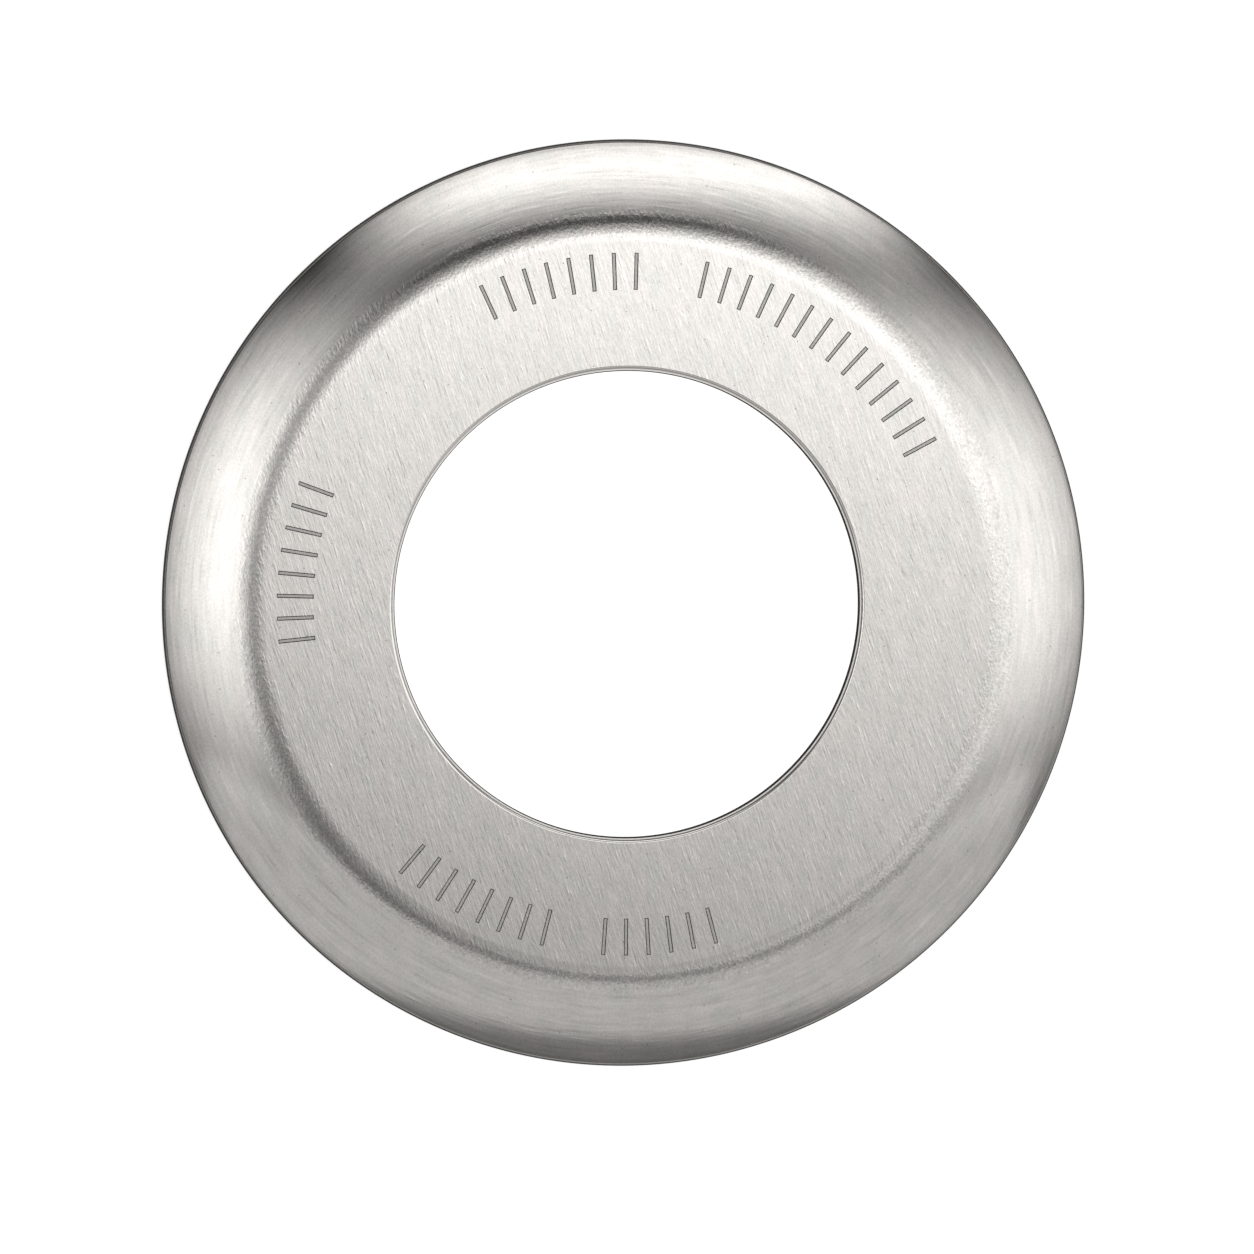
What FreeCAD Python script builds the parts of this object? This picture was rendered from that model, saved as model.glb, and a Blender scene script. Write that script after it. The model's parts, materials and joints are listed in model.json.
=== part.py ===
import FreeCAD, Part
import math
import os

# Bearing sealing ring: a round blank of steel sheet, pressed to a flat web with
# a shallow domed flange around it, trimmed at the bore and at the rim, and ground
# flat under the rim. Sizes are in millimetres. The ring's axis is Z and the flat
# web looks up. The origin is on the axis, in the plane of the land under the rim.

# Driving sizes
shaft_diameter = 40.0
shaft_clearance = 0.1  # radial, between the shaft and the bore
outer_diameter = 80.0
sheet_thickness = 1.2
flange_width = 8.8  # radial, from the edge of the flat web to the rim
bend_radius = 13.6  # outer face, where the web turns down into the flange
bend_angle = 11.0  # degrees, slope at which the bend runs into the dome
dome_radius = 50.0  # outer face of the flange
land_width = 1.6  # flat sealing land, ground under the rim
bore_front_round = 0.5
bore_back_round = 0.1
rim_front_round = 0.5
rim_back_round = 0.2

# Radii that follow from them
bore_radius = shaft_diameter / 2 + shaft_clearance
outer_radius = outer_diameter / 2
web_radius = outer_radius - flange_width
land_inner_radius = outer_radius - land_width

match_tolerance = 0.001


def point(radius, height):
    """A point of the half-section, which lies in the XZ plane."""
    return FreeCAD.Vector(radius, 0, height)


def on_arc(centre, arc_radius, slope):
    """The point of an arc where a surface with this slope, in radians, touches it."""
    return centre + point(arc_radius * math.sin(slope), arc_radius * math.cos(slope))


def arc(centre, arc_radius, first_slope, last_slope):
    """An arc of the half-section between two slopes."""
    middle_slope = (first_slope + last_slope) / 2
    slopes = (first_slope, middle_slope, last_slope)
    return Part.Arc(*[on_arc(centre, arc_radius, slope) for slope in slopes]).toShape()


def line(start, end):
    return Part.LineSegment(start, end).toShape()


def half_section():
    """The ring's closed section to one side of the axis, with sharp corners."""
    turn = math.radians(bend_angle)
    bend_inner = bend_radius - sheet_thickness
    dome_inner = dome_radius - sheet_thickness

    # The bend and the dome are tangent, so their centres lie on one normal. They
    # are first placed with the web's front face at height zero.
    bend_centre = point(web_radius, -bend_radius)
    dome_centre = on_arc(bend_centre, bend_radius - dome_radius, turn)
    front_end_slope = math.asin((outer_radius - dome_centre.x) / dome_radius)
    back_end_slope = math.asin((land_inner_radius - dome_centre.x) / dome_inner)

    # Everything is then lifted so that the back of the dome meets the land at zero.
    web_height = -on_arc(dome_centre, dome_inner, back_end_slope).z
    lift = point(0, web_height)
    bend_centre = bend_centre + lift
    dome_centre = dome_centre + lift

    front_inner = point(bore_radius, web_height)
    back_inner = point(bore_radius, web_height - sheet_thickness)
    rim_top = on_arc(dome_centre, dome_radius, front_end_slope)
    rim_bottom = point(outer_radius, 0)
    edges = [
        line(front_inner, on_arc(bend_centre, bend_radius, 0)),
        arc(bend_centre, bend_radius, 0, turn),
        arc(dome_centre, dome_radius, turn, front_end_slope),
        line(rim_top, rim_bottom),
        line(rim_bottom, point(land_inner_radius, 0)),
        arc(dome_centre, dome_inner, back_end_slope, turn),
        arc(bend_centre, bend_inner, turn, 0),
        line(on_arc(bend_centre, bend_inner, 0), back_inner),
        line(back_inner, front_inner),
    ]
    rounds = [
        (front_inner, bore_front_round),
        (back_inner, bore_back_round),
        (rim_top, rim_front_round),
        (rim_bottom, rim_back_round),
    ]
    return Part.Wire(edges), rounds


def circle_through(solid, corner):
    """The circular edge that a corner of the half-section sweeps."""
    for edge in solid.Edges:
        if not isinstance(edge.Curve, Part.Circle):
            continue
        same_radius = abs(edge.Curve.Radius - corner.x) < match_tolerance
        same_height = abs(edge.Curve.Center.z - corner.z) < match_tolerance
        if same_radius and same_height:
            return edge
    raise ValueError("no circular edge at radius %.3f, height %.3f" % (corner.x, corner.z))


def sealing_ring():
    wire, rounds = half_section()
    ring = Part.Face(wire).revolve(FreeCAD.Vector(0, 0, 0), FreeCAD.Vector(0, 0, 1), 360)
    for corner, radius in rounds:
        ring = ring.makeFillet(radius, [circle_through(ring, corner)])
    return ring


os.makedirs("parts", exist_ok=True)
sealing_ring().exportStep("parts/sealing_ring.step")
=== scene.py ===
import json
import math
from types import SimpleNamespace

import bmesh
import bpy
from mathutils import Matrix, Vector


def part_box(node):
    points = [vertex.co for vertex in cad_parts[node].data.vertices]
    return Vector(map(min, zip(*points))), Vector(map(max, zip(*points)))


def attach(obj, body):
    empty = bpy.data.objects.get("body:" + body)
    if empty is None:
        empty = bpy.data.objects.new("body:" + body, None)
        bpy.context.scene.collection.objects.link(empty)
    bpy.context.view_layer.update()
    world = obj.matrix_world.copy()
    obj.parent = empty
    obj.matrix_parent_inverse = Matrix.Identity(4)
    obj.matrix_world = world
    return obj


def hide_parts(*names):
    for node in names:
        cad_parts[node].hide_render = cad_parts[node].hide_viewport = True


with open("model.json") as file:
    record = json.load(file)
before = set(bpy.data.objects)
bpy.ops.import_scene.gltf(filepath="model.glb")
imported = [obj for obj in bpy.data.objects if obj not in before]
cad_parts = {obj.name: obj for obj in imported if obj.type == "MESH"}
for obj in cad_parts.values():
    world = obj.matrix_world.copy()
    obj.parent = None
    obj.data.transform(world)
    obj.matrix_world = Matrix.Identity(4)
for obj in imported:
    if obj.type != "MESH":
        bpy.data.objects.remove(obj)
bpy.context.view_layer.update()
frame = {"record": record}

# Bearing sealing ring, in metres: a flat web, brushed in straight lines, inside a shallow
# domed flange, brushed around the axis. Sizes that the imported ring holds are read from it.
mounts = {mount["name"]: mount for mount in frame["record"]["mounts"]}
outer_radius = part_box("sealing_ring")[1].x
bore_radius = mounts["bore"]["dims"]["r_mm"] / 1000
web_front = mounts["web_front"]["pos_m"][2]
web_back = mounts["web_back"]["pos_m"][2]
sheet_thickness = web_front - web_back
web_radius = 0.0312
bend_radius = 0.0136
bend_angle = math.radians(11)
dome_radius = 0.05
bore_front_round = 0.0005
bore_back_round = 0.0001
rim_front_round = 0.0005
rim_back_round = 0.0002

# How finely the ring is made. The dome is first made a little too long, and then trimmed.
bend_steps = 8
dome_steps = 12
dome_overrun = math.radians(2)
round_steps = 5
turn_steps = 720
merge_distance = 1e-7
trim_tolerance = 1e-8
sharp_angle = math.radians(35)

# Stamped marks: plain flat-bottomed grooves in the web, which point at the axis and stand
# evenly spaced in five groups. Each group is given by its first angle, in degrees as the
# pitch is, and by its number of marks.
mark_width = 0.00036
mark_length = 0.0032
mark_depth = 0.00009
mark_taper = 0.00008
mark_radius = 0.0287
mark_pitch = 3.75
mark_groups = ((28.0, 14), (88.5, 8), (159.5, 8), (229.5, 8), (266.0, 6))

# Brushing: the web's straight lines lean from upright, and give way on the bend to the
# flange's round ones, over a ragged border and a rough band that neither brush smooths.
web_brush_lean = math.radians(16.5)
border_start = 0.0316
border_end = 0.0334
border_swing = 0.0016
rough_start = 0.0314
rough_full = 0.0321
rough_fade = 0.0332
rough_end = 0.0340

# Width and length of one line or grain of each pattern
web_fine_size = (0.00015, 0.0010)
web_long_size = (0.00016, 0.0036)
flange_fine_size = (0.00028, 0.0035)
flange_long_size = (0.00045, 0.012)
grain_size = (0.00014, 0.00022)
fleck_size = (0.0002, 0.0003)
mottle_size = (0.0014, 0.0035)
ragged_size = (0.0003, 0.0007)

# Heights of the finest relief, in microns
micron = 0.000001
web_line_height = 4.0
flange_line_height = 1.8
fleck_height = 7.5

# Where the edges look different: how far from the rim or the bore a zone starts, and how
# far from it the zone is full
# The cut zones: the sheared edges and the ends of the rounds beside them, dark partly in their own
# dull tone and partly with painted shade
rim_cut_and_shade_zone = (0.00022, 0.0001)
bore_cut_and_shade_zone = (0.00011, 0.00007)
# Painted shade: a darker band along the rim
painted_rim_shade_zone = (0.0007, 0.0002)
# Painted highlight: a lighter band along the bore's edge
painted_bore_highlight_zone = (0.0005, 0.00035)

# Tones, where 0 is black and 1 is white, and how far the patterns swing them
steel_tone = 0.64
line_swing = 0.17
grain_swing = 0.22
mottle_swing = 0.11
fleck_swing = 0.55
# Painted highlight: the lighter tone of the band along the bore's edge
painted_bore_highlight_tone = 0.72
# Dark cut edges: partly the sheared steel's own dull tone, partly painted shade
bore_cut_and_shade_tone = 0.09
rim_cut_and_shade_tone = 0.15
shear_swing = 0.12
warm_tint = (1.02, 0.987, 0.945)
warm_swing = 0.05

# How much of its tone a darker place keeps
pit_keeps = 0.5
# Painted shade: how much of its tone the band along the rim keeps
painted_rim_shade_keeps = 0.8
# Painted shade: how much of its tone each side and floor of a stamped mark keeps
mark_side_painted_shade_keeps = 0.25
mark_floor_painted_shade_keeps = 0.7

# Roughness of each surface
web_roughness = 0.130
flange_roughness = 0.115
mark_roughness = 0.3
cut_roughness = 0.45


def start_piece():
    """Deselects everything, so that the next operators act on the new primitive alone."""
    if bpy.context.object and bpy.context.object.mode == "EDIT":
        bpy.ops.object.mode_set(mode="OBJECT")
    bpy.ops.object.select_all(action="DESELECT")


def pick(piece):
    """Selects one piece alone, so that the next operators act on it."""
    start_piece()
    piece.select_set(True)
    bpy.context.view_layer.objects.active = piece


def select_where(chosen):
    """Selects, in edit mode, the vertices whose places chosen() accepts, with their edges."""
    bpy.ops.mesh.select_all(action="DESELECT")
    mesh = bpy.context.edit_object.data
    shape = bmesh.from_edit_mesh(mesh)
    for vertex in shape.verts:
        vertex.select = chosen(vertex.co)
    shape.select_flush(True)
    bmesh.update_edit_mesh(mesh)


def round_corner(radius, height, turn, size):
    """Rounds a corner of the section, where its outline turns by an angle, to a radius."""
    corner = Vector((radius, 0, height))
    vertices = bmesh.from_edit_mesh(bpy.context.edit_object.data).verts
    nearest = min((vertex.co - corner).length for vertex in vertices)
    select_where(lambda place: (place - corner).length <= nearest)
    reach = size * math.tan(turn / 2)
    bpy.ops.mesh.bevel(offset=reach, segments=round_steps, affect="VERTICES")


def bend_out(radius_centre, height_centre, angle, steps):
    """Carries the section's selected end on around a centre, down and outwards."""
    centre = (radius_centre, 0, height_centre)
    bpy.ops.mesh.spin(steps=steps, angle=angle, center=centre, axis=(0, -1, 0))


def trim(place, kept_side):
    """Cuts everything at a plane and keeps the side that kept_side points to."""
    bpy.ops.mesh.select_all(action="SELECT")
    bpy.ops.mesh.bisect(
        plane_co=place, plane_no=kept_side, clear_inner=True, threshold=trim_tolerance
    )
    bpy.ops.mesh.select_all(action="SELECT")


def web_section():
    """The web's section to one side of the axis: a thin rectangle, left in edit mode."""
    start_piece()
    width = web_radius - bore_radius
    middle = (bore_radius + width / 2, 0, web_front - sheet_thickness / 2)
    bpy.ops.mesh.primitive_plane_add(size=1, location=middle, rotation=(math.pi / 2, 0, 0))
    bpy.ops.object.mode_set(mode="EDIT")
    bpy.ops.transform.resize(value=(width, 1, sheet_thickness))
    bpy.ops.object.mode_set(mode="OBJECT")
    bpy.ops.object.transform_apply()
    bpy.ops.object.mode_set(mode="EDIT")
    bpy.ops.mesh.select_mode(type="VERT")


def ring_section():
    """The whole section: the web, bent and domed out to the rim, with its corners rounded."""
    web_section()
    bend_height = web_front - bend_radius
    centres_apart = dome_radius - bend_radius
    dome_place = web_radius - centres_apart * math.sin(bend_angle)
    dome_height = bend_height - centres_apart * math.cos(bend_angle)
    rim_slope = math.asin((outer_radius - dome_place) / dome_radius)
    web_middle = (bore_radius + web_radius) / 2
    select_where(lambda place: place.x > web_middle)
    bend_out(web_radius, bend_height, bend_angle, bend_steps)
    bend_out(dome_place, dome_height, rim_slope - bend_angle + dome_overrun, dome_steps)

    # Trimmed at the rim, and flat where it lands
    trim((outer_radius, 0, 0), (-1, 0, 0))
    trim((0, 0, 0), (0, 0, 1))
    bpy.ops.mesh.dissolve_faces()

    square = math.pi / 2
    rim_front = dome_height + dome_radius * math.cos(rim_slope)
    round_corner(bore_radius, web_front, square, bore_front_round)
    round_corner(bore_radius, web_back, square, bore_back_round)
    round_corner(outer_radius, rim_front, square - rim_slope, rim_front_round)
    round_corner(outer_radius, 0, square, rim_back_round)


def turned_ring():
    """The section's outline, spun once round the axis."""
    ring_section()
    bpy.ops.mesh.select_all(action="SELECT")
    bpy.ops.mesh.delete(type="ONLY_FACE")
    bpy.ops.mesh.select_all(action="SELECT")
    bpy.ops.mesh.spin(steps=turn_steps, angle=math.tau, center=(0, 0, 0), axis=(0, 0, 1))
    bpy.ops.mesh.select_all(action="SELECT")
    bpy.ops.mesh.remove_doubles(threshold=merge_distance)
    bpy.ops.mesh.normals_make_consistent(inside=False)
    bpy.ops.object.mode_set(mode="OBJECT")
    ring = bpy.context.object
    ring.name = "ring"
    return ring


def mark_punch():
    """The tool that stamps one mark: a bar on the X axis that narrows towards its tip."""
    start_piece()
    bpy.ops.mesh.primitive_cube_add(size=1, location=(mark_radius, 0, web_front))
    punch = bpy.context.object
    bpy.ops.object.mode_set(mode="EDIT")
    bpy.ops.transform.resize(value=(mark_length, mark_width, 2 * mark_depth))
    for side, growth in ((1, 2 * mark_taper), (-1, -2 * mark_taper)):
        select_where(lambda place: place.z * side > 0)
        bpy.ops.transform.resize(value=(1 + growth / mark_length, 1 + growth / mark_width, 1))
    bpy.ops.object.mode_set(mode="OBJECT")
    bpy.ops.object.transform_apply()
    return punch


def punch_set():
    """A copy of the punch over each mark of each group, all joined."""
    punch = mark_punch()
    copies = []
    for first, count in mark_groups:
        for step in range(count):
            pick(punch)
            bpy.ops.object.duplicate(linked=False)
            copies.append(bpy.context.object)
            copies[-1].rotation_euler.z = math.radians(first + step * mark_pitch)
    bpy.data.objects.remove(punch, do_unlink=True)

    pick(copies[0])
    for copy in copies:
        copy.select_set(True)
    bpy.ops.object.join()
    return bpy.context.object


def stamp_marks(ring):
    """Sinks the punches into the web."""
    punches = punch_set()
    pick(ring)
    bpy.ops.object.modifier_add(type="BOOLEAN")
    stamping = ring.modifiers[0]
    stamping.operation = "DIFFERENCE"
    stamping.solver = "EXACT"
    stamping.object = punches
    bpy.ops.object.modifier_apply(modifier=stamping.name)
    bpy.data.objects.remove(punches, do_unlink=True)


def smooth_piece(piece):
    """Shades the piece smooth between its sharp edges, with flat faces kept flat."""
    pick(piece)
    bpy.ops.object.shade_smooth_by_angle(angle=sharp_angle)
    bpy.ops.object.modifier_add(type="WEIGHTED_NORMAL")
    piece.modifiers[0].keep_sharp = True
    bpy.ops.object.modifier_apply(modifier=piece.modifiers[0].name)


def fill_node(tree, node, inputs):
    """Sets each of these inputs of a shader node to its value, or links it to its socket."""
    for name, value in inputs.items():
        if isinstance(value, bpy.types.NodeSocket):
            tree.links.new(value, node.inputs[name])
        else:
            node.inputs[name].default_value = value


def add_node(tree, kind, inputs=None, **options):
    """Adds a shader node, with its options set and its inputs filled."""
    made = tree.nodes.new(kind)
    for option, value in options.items():
        setattr(made, option, value)
    fill_node(tree, made, inputs or {})
    return made


def calculate(tree, operation, *values):
    """The result of a Math node."""
    inputs = dict(enumerate(values))
    return add_node(tree, "ShaderNodeMath", inputs, operation=operation).outputs[0]


def calculate_vector(tree, operation, inputs):
    """The result of a Vector Math node, which is a number where it measures a length."""
    made = add_node(tree, "ShaderNodeVectorMath", inputs, operation=operation)
    return made.outputs["Value" if operation == "LENGTH" else "Vector"]


def blend_values(tree, share, first, second):
    """A number that runs from the first to the second as the share goes from 0 to 1."""
    inputs = {0: share, 2: first, 3: second}
    return add_node(tree, "ShaderNodeMix", inputs, data_type="FLOAT").outputs[0]


def darken(tree, tone, share, keeps):
    """A tone that keeps all of itself where the share is 0, and a part of itself where it is 1."""
    return calculate(tree, "MULTIPLY", tone, blend_values(tree, share, 1.0, keeps))


def smooth_step(tree, value, start, end):
    """Runs smoothly from 0 to 1 as the value goes from start to end."""
    inputs = {"Value": value, "From Min": start, "From Max": end}
    node = add_node(tree, "ShaderNodeMapRange", inputs, interpolation_type="SMOOTHSTEP")
    return node.outputs[0]


def noise(tree, place, detail=2.0, roughness=0.5):
    """Noise at a place, with features of about one unit."""
    inputs = {"Vector": place, "Scale": 1.0, "Detail": detail, "Roughness": roughness}
    return add_node(tree, "ShaderNodeTexNoise", inputs).outputs[0]


def swing(tree, pattern, size):
    """A pattern that runs about the middle of 0 and 1, made to run about 0 with a given size."""
    return calculate(tree, "MULTIPLY", calculate(tree, "SUBTRACT", pattern, 0.5), size)


def straight_brushing(tree, point, size):
    """Coordinates in which straight lines of a width and length are one unit wide and long."""
    width, length = size
    inputs = {
        "Vector": point.place,
        "Rotation": (0, 0, web_brush_lean),
        "Scale": (width, length, width),
    }
    return add_node(tree, "ShaderNodeMapping", inputs, vector_type="TEXTURE").outputs[0]


def round_brushing(tree, point, size):
    """Coordinates in which round lines of a width and length are one unit wide and long."""
    width, length = size
    lap = calculate_vector(tree, "SCALE", {0: point.outwards, "Scale": outer_radius / length})
    parts = add_node(tree, "ShaderNodeSeparateXYZ", {0: lap}).outputs
    inputs = {0: calculate(tree, "DIVIDE", point.radius, width), 1: parts[0], 2: parts[1]}
    return add_node(tree, "ShaderNodeCombineXYZ", inputs).outputs[0]


def shear_lines(tree, point):
    """Noise in short upright lines, which the trimming tool leaves on a cut edge."""
    lines_to_a_radian = 500
    line_height = 0.0015
    lap = calculate_vector(tree, "SCALE", {0: point.outwards, "Scale": lines_to_a_radian})
    parts = add_node(tree, "ShaderNodeSeparateXYZ", {0: lap}).outputs
    inputs = {0: parts[0], 1: parts[1], 2: calculate(tree, "DIVIDE", point.height, line_height)}
    return noise(tree, add_node(tree, "ShaderNodeCombineXYZ", inputs).outputs[0])


def pits(tree, point):
    """Tiny dark pits, one in about a third of the cells of a loose net."""
    pit_spacing = 0.0025
    pit_edge = 0.035
    pit_bottom = 0.012
    cells_without = 0.65
    inputs = {"Vector": point.place, "Scale": 1 / pit_spacing}
    net = add_node(
        tree, "ShaderNodeTexVoronoi", inputs, voronoi_dimensions="2D", feature="F1"
    ).outputs
    pit = smooth_step(tree, net["Distance"], pit_edge, pit_bottom)
    chance = add_node(tree, "ShaderNodeSeparateColor", {0: net["Color"]}).outputs[0]
    return calculate(tree, "MULTIPLY", pit, calculate(tree, "GREATER_THAN", chance, cells_without))


def ring_point(tree):
    """A point of the ring: its place, distance and direction from the axis, and height."""
    place = add_node(tree, "ShaderNodeTexCoord").outputs["Object"]
    x, y, height = add_node(tree, "ShaderNodeSeparateXYZ", {0: place}).outputs
    spoke = add_node(tree, "ShaderNodeCombineXYZ", {0: x, 1: y}).outputs[0]
    radius = calculate_vector(tree, "LENGTH", {0: spoke})
    outwards = calculate_vector(tree, "NORMALIZE", {0: spoke})
    return SimpleNamespace(place=place, radius=radius, outwards=outwards, height=height)


def brush_border(tree, point):
    """How far a point is on the flange's side of the ragged border, and on the rough band."""
    ragged = noise(tree, straight_brushing(tree, point, ragged_size))
    radius = calculate(tree, "ADD", point.radius, swing(tree, ragged, border_swing))
    flange = smooth_step(tree, radius, border_start, border_end)
    inner = smooth_step(tree, radius, rough_start, rough_full)
    outer = smooth_step(tree, radius, rough_end, rough_fade)
    return flange, calculate(tree, "MULTIPLY", inner, outer)


def brush_lines(tree, point, flange):
    """Brush lines that run about 0, fine ones over long ones, the few strong ones made stronger."""
    long_size = 0.6
    line_gain = 0.9
    strong_gain = 6.0
    web_fine = noise(tree, straight_brushing(tree, point, web_fine_size), 1.0)
    web_long = noise(tree, straight_brushing(tree, point, web_long_size), 1.0)
    flange_fine = noise(tree, round_brushing(tree, point, flange_fine_size), 1.0)
    flange_long = noise(tree, round_brushing(tree, point, flange_long_size), 1.0)
    fine = swing(tree, blend_values(tree, flange, web_fine, flange_fine), 1.0)
    long = swing(tree, blend_values(tree, flange, web_long, flange_long), long_size)
    lines = calculate(tree, "ADD", fine, long)
    square = calculate(tree, "MULTIPLY", lines, lines)
    gain = calculate(tree, "MULTIPLY_ADD", square, strong_gain, line_gain)
    return calculate(tree, "MULTIPLY", lines, gain)


def fine_relief(tree, lines, flecks, flange, rough_band):
    """The brush lines and the rough band's flecks as bumps."""
    line_height = blend_values(tree, flange, web_line_height, flange_line_height)
    relief = calculate(tree, "MULTIPLY", lines, line_height)
    band_height = calculate(tree, "MULTIPLY", rough_band, fleck_height)
    relief = calculate(tree, "MULTIPLY_ADD", flecks, band_height, relief)
    inputs = {"Strength": 1.0, "Distance": micron, "Height": relief}
    return add_node(tree, "ShaderNodeBump", inputs).outputs[0]


def gloss_direction(tree, point, flange):
    """The direction across the brush lines, in which the gloss is stretched."""
    across_web = (math.cos(web_brush_lean), math.sin(web_brush_lean), 0)
    inputs = {0: flange, 4: across_web, 5: point.outwards}
    across = add_node(tree, "ShaderNodeMix", inputs, data_type="VECTOR").outputs[1]
    return calculate_vector(tree, "NORMALIZE", {0: across})


def near_rim(tree, point, zone):
    """Runs from 0 to 1 towards the rim, through one of its zones."""
    start, full = zone
    return smooth_step(tree, point.radius, outer_radius - start, outer_radius - full)


def near_bore(tree, point, zone):
    """Runs from 0 to 1 towards the bore, through one of its zones."""
    start, full = zone
    return smooth_step(tree, point.radius, bore_radius + start, bore_radius + full)


def stamped_places(tree, point):
    """The sides and the floors of the stamped marks, told by how far they lie below the web,
    in shares of a mark's depth: a side from 0.1 to 0.9 of it, and a floor from 0.9 on."""
    just_past_ends = 0.6 * mark_length
    on_marks = calculate(tree, "COMPARE", point.radius, mark_radius, just_past_ends)
    below = calculate(tree, "SUBTRACT", web_front, point.height)
    below = calculate(tree, "DIVIDE", below, mark_depth)
    side = calculate(tree, "MULTIPLY", calculate(tree, "COMPARE", below, 0.5, 0.4), on_marks)
    floor = calculate(tree, "MULTIPLY", calculate(tree, "COMPARE", below, 1.0, 0.1), on_marks)
    return side, floor


def brushed_steel():
    """The ring's one material: brushed sheet, with dull dark cut edges and stamped marks, and
    painted shade on the cut edges, along the rim and in the marks, and a painted highlight along
    the bore.
    """
    material = bpy.data.materials.new("brushed_steel")
    material.use_nodes = True
    tree = material.node_tree
    point = ring_point(tree)
    flange, rough_band = brush_border(tree, point)
    lines = brush_lines(tree, point, flange)
    grain = noise(tree, straight_brushing(tree, point, grain_size), 1.0)
    flecks = noise(tree, straight_brushing(tree, point, fleck_size), 2.0, 0.6)
    mottle = noise(tree, straight_brushing(tree, point, mottle_size), 2.0)
    mark_side, mark_floor = stamped_places(tree, point)
    painted_rim_shade = near_rim(tree, point, painted_rim_shade_zone)
    painted_bore_highlight = near_bore(tree, point, painted_bore_highlight_zone)
    rim_cut_and_shade = near_rim(tree, point, rim_cut_and_shade_zone)
    cut_and_shade = calculate(tree, "MAXIMUM", rim_cut_and_shade, near_bore(tree, point, bore_cut_and_shade_zone))

    # The patterns swing the steel's tone, painted shade darkens a band along the rim and the
    # stamped marks, a painted highlight lightens the bore's edge, and the cut edges have dull tones
    # of their own with painted shade in them
    tone = calculate(tree, "MULTIPLY_ADD", lines, line_swing, steel_tone)
    tone = calculate(tree, "ADD", tone, swing(tree, grain, grain_swing))
    tone = calculate(tree, "ADD", tone, swing(tree, mottle, mottle_swing))
    band_tone = calculate(tree, "MULTIPLY", rough_band, swing(tree, flecks, fleck_swing))
    tone = calculate(tree, "ADD", tone, band_tone)
    tone = darken(tree, tone, pits(tree, point), pit_keeps)
    # Painted shade: the tone darkens towards the rim
    tone = darken(tree, tone, painted_rim_shade, painted_rim_shade_keeps)
    # Painted highlight: a lighter tone along the bore's edge
    tone = blend_values(tree, painted_bore_highlight, tone, painted_bore_highlight_tone)
    # Painted shade in the stamped marks' sides and floors
    tone = darken(tree, tone, mark_side, mark_side_painted_shade_keeps)
    tone = darken(tree, tone, mark_floor, mark_floor_painted_shade_keeps)
    # Painted shade, on top of the cut edges' own dull tone
    sheared = swing(tree, shear_lines(tree, point), shear_swing)
    cut_and_shade_tone = blend_values(tree, rim_cut_and_shade, bore_cut_and_shade_tone, rim_cut_and_shade_tone)
    tone = blend_values(tree, cut_and_shade, tone, calculate(tree, "ADD", cut_and_shade_tone, sheared))

    # Faintly warm, and a little warmer here than there
    warmth = swing(tree, mottle, warm_swing)
    red = calculate(tree, "MULTIPLY", tone, calculate(tree, "ADD", warm_tint[0], warmth))
    green = calculate(tree, "MULTIPLY", tone, calculate(tree, "SUBTRACT", warm_tint[1], warmth))
    blue = calculate(tree, "MULTIPLY", tone, warm_tint[2])
    colour = add_node(tree, "ShaderNodeCombineColor", {0: red, 1: green, 2: blue}).outputs[0]

    roughness = blend_values(tree, flange, web_roughness, flange_roughness)
    stamped = calculate(tree, "ADD", mark_side, mark_floor)
    roughness = blend_values(tree, stamped, roughness, mark_roughness)
    roughness = blend_values(tree, cut_and_shade, roughness, cut_roughness)

    # The cut edges are dull and mirror nothing, unlike the bright steel around them; their dark
    # tone is partly their own and partly painted shade
    inputs = {
        "Base Color": colour,
        "Roughness": roughness,
        "Metallic": calculate(tree, "SUBTRACT", 1.0, cut_and_shade),
        "Specular IOR Level": 0.0,
        "Anisotropic": 0.3,
        "Tangent": gloss_direction(tree, point, flange),
        "Normal": fine_relief(tree, lines, flecks, flange, rough_band),
    }
    fill_node(tree, tree.nodes["Principled BSDF"], inputs)
    return material


def floor_paint():
    """Pale paint that shows white to the camera and in the steel, and takes a shadow."""
    grey = 0.6
    glow = 0.80
    material = bpy.data.materials.new("white_floor")
    material.use_nodes = True
    tree = material.node_tree
    tree.nodes.remove(tree.nodes["Principled BSDF"])
    paint = add_node(tree, "ShaderNodeBsdfDiffuse", {"Color": (grey, grey, grey, 1)})
    seen = add_node(tree, "ShaderNodeLightPath").outputs
    shown = calculate(tree, "ADD", seen["Is Camera Ray"], seen["Is Glossy Ray"])
    shown = calculate(tree, "ADD", shown, seen["Is Transmission Ray"])
    strength = calculate(tree, "MULTIPLY", shown, glow)
    lift = add_node(tree, "ShaderNodeEmission", {"Strength": strength})
    both = add_node(tree, "ShaderNodeAddShader", {0: paint.outputs[0], 1: lift.outputs[0]})
    fill_node(tree, tree.nodes["Material Output"], {"Surface": both.outputs[0]})
    return material


def white_floor():
    """A wide round floor whose edge turns up, so that a low view sees no end of it."""
    floor_radius = 3.0
    edge_width = 0.3
    edge_height = 1.0
    start_piece()
    bpy.ops.mesh.primitive_circle_add(vertices=128, radius=floor_radius, fill_type="NGON")
    floor = bpy.context.object
    floor.name = "floor"
    bpy.ops.object.mode_set(mode="EDIT")
    bpy.ops.mesh.select_all(action="SELECT")
    bpy.ops.mesh.inset(thickness=edge_width)
    select_where(lambda place: place.length > floor_radius - edge_width / 2)
    bpy.ops.transform.translate(value=(0, 0, edge_height))
    bpy.ops.object.mode_set(mode="OBJECT")
    floor.data.materials.append(floor_paint())


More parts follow.
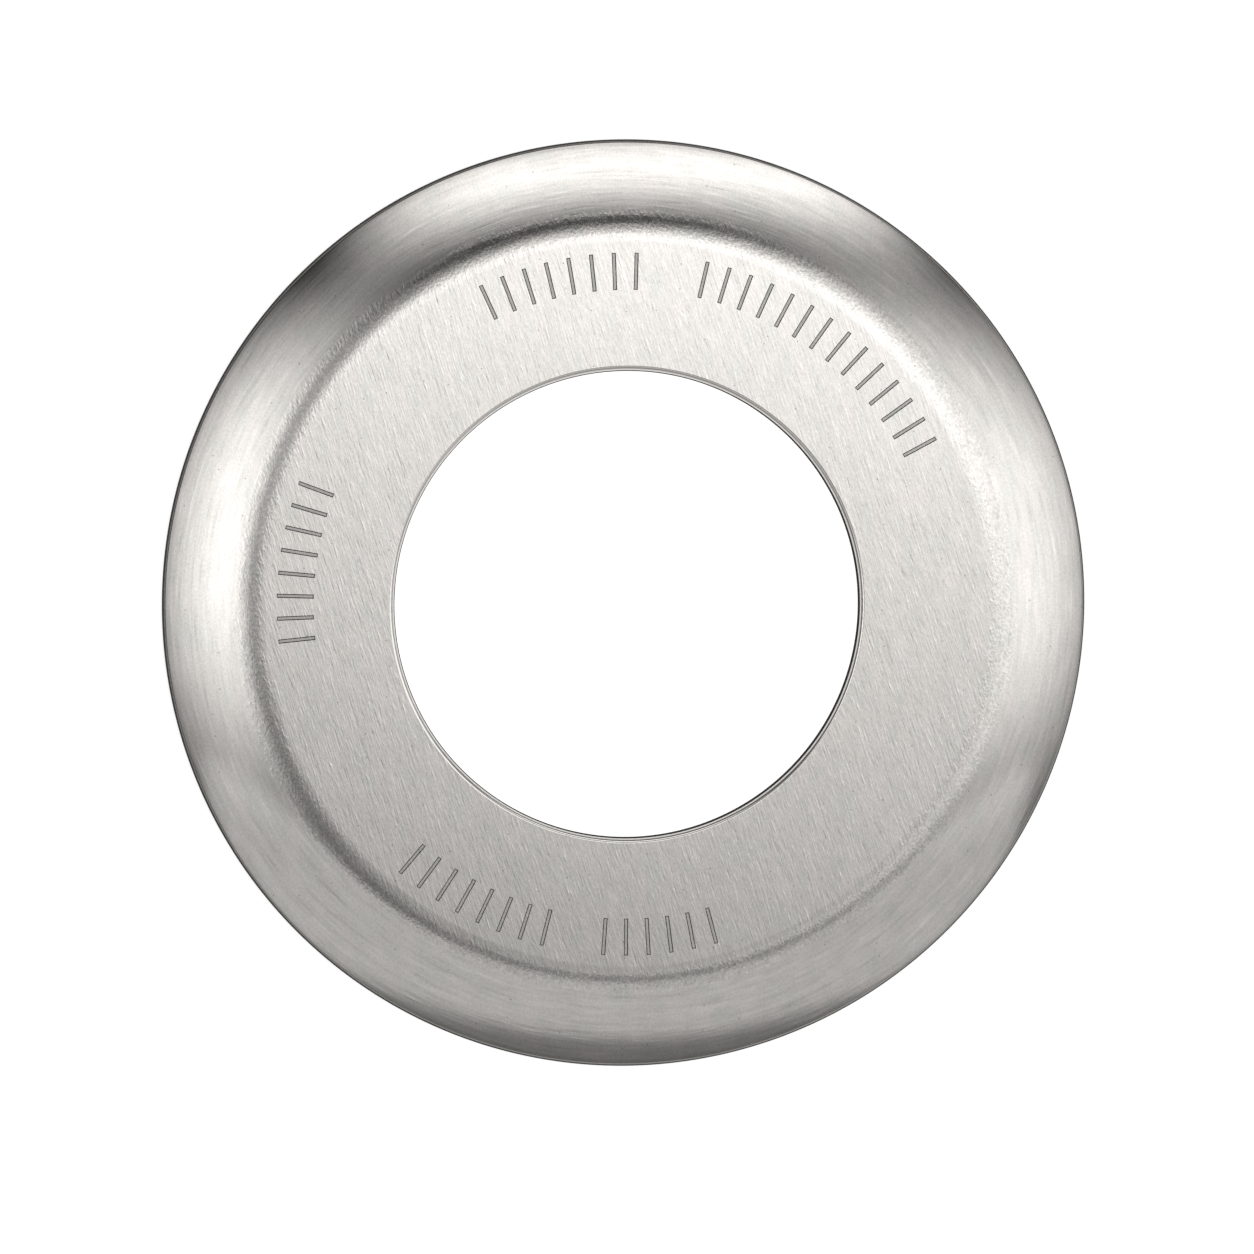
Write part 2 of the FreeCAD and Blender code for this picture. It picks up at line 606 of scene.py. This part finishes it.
def looking_down(lean):
    """The turn of a camera or lamp that looks back along a direction, with +Y still upwards."""
    return (-math.asin(lean.y), math.atan2(lean.x, lean.z), 0)


def faded_edge(tree, along, size, fade):
    """How bright a softbox is along one side: nothing at its edges, full once inside them."""
    off_middle = calculate(tree, "ABSOLUTE", calculate(tree, "SUBTRACT", along, 0.5))
    inside = calculate(tree, "MULTIPLY", calculate(tree, "SUBTRACT", 0.5, off_middle), size)
    return smooth_step(tree, inside, 0, fade)


def softbox(name, lean, size, fade, glow):
    """A lamp one metre from the ring, facing it, whose light fades towards its edges. It leans
    across and up from overhead, and its glow is 1 where it shines like a white card."""
    across, up = lean
    width, height = size
    direction = Vector((across, up, math.sqrt(1 - across ** 2 - up ** 2)))
    bpy.ops.object.light_add(type="AREA", location=direction)
    lamp = bpy.context.object
    lamp.name = name
    lamp.rotation_euler = looking_down(direction)
    lamp.data.shape = "RECTANGLE"
    lamp.data.size = width
    lamp.data.size_y = height
    lamp.data.energy = glow * math.pi * width * height
    lamp.visible_camera = False

    lamp.data.use_nodes = True
    tree = lamp.data.node_tree
    spot = add_node(tree, "ShaderNodeNewGeometry").outputs["Parametric"]
    spot = add_node(tree, "ShaderNodeSeparateXYZ", {0: spot}).outputs
    sideways = faded_edge(tree, spot[0], width, fade)
    upwards = faded_edge(tree, spot[1], height, fade)
    cloth = calculate(tree, "MULTIPLY", sideways, upwards)
    fill_node(tree, tree.nodes["Emission"], {"Strength": cloth})


def studio_light():
    """Six softboxes, each named for where it stands in the camera's view."""
    softbox("left_softbox", lean=(-0.377, 0.046), size=(0.73, 0.87), fade=0.4, glow=1.70)
    softbox("right_softbox", lean=(0.52, 0.036), size=(0.91, 0.88), fade=0.4, glow=1.37)
    softbox("top_softbox", lean=(0.127, 0.529), size=(1.05, 0.513), fade=0.34, glow=2.20)
    softbox("overhead_softbox", lean=(0.132, 0.055), size=(0.645, 0.495), fade=0.3, glow=1.985)
    softbox("lower_softbox", lean=(0.079, -0.455), size=(1.4, 0.402), fade=0.056, glow=0.47)
    softbox("near_softbox", lean=(0.164, -0.192), size=(0.603, 0.244), fade=0.264, glow=1.32)


def studio_room():
    """Grey walls under a dark ceiling, lightest on the side that is lowest in the view."""
    ceiling_level = 0.072
    ceiling_slope = -0.186
    ceiling_least = 0.02
    wall_level = 0.36
    wall_slope_across = 0.06
    wall_slope_up = -0.14
    wall_start = 0.70
    wall_full = 0.86

    world = bpy.data.worlds.new("studio")
    bpy.context.scene.world = world
    world.use_nodes = True
    tree = world.node_tree
    direction = add_node(tree, "ShaderNodeTexCoord").outputs["Generated"]
    x, y = add_node(tree, "ShaderNodeSeparateXYZ", {0: direction}).outputs[:2]
    level_part = add_node(tree, "ShaderNodeCombineXYZ", {0: x, 1: y}).outputs[0]
    lean = calculate_vector(tree, "LENGTH", {0: level_part})
    low = smooth_step(tree, lean, wall_start, wall_full)
    ceiling = calculate(tree, "MULTIPLY_ADD", y, ceiling_slope, ceiling_level)
    ceiling = calculate(tree, "MAXIMUM", ceiling, ceiling_least)
    walls = calculate(tree, "MULTIPLY_ADD", x, wall_slope_across, wall_level)
    walls = calculate(tree, "MULTIPLY_ADD", y, wall_slope_up, walls)
    inputs = {"Color": (1, 1, 1, 1), "Strength": blend_values(tree, low, ceiling, walls)}
    fill_node(tree, tree.nodes["Background"], inputs)


def camera():
    """The photograph's view: nearly straight down, from a little left of and above the axis."""
    distance = 1.2
    lean = Vector((-0.1069, 0.0511, 0.99296)).normalized()
    aim = Vector((0.0001, -0.0020, 0.00126))
    bpy.ops.object.camera_add(location=aim + lean * distance)
    view = bpy.context.object
    view.rotation_euler = looking_down(lean)
    view.data.lens = 399.7
    view.data.sensor_width = 36.0
    bpy.context.scene.camera = view


ring = turned_ring()
stamp_marks(ring)
smooth_piece(ring)
ring.data.materials.append(brushed_steel())
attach(ring, "root")
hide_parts("sealing_ring")
white_floor()
studio_light()
studio_room()
camera()
bpy.context.scene.view_settings.view_transform = "Standard"
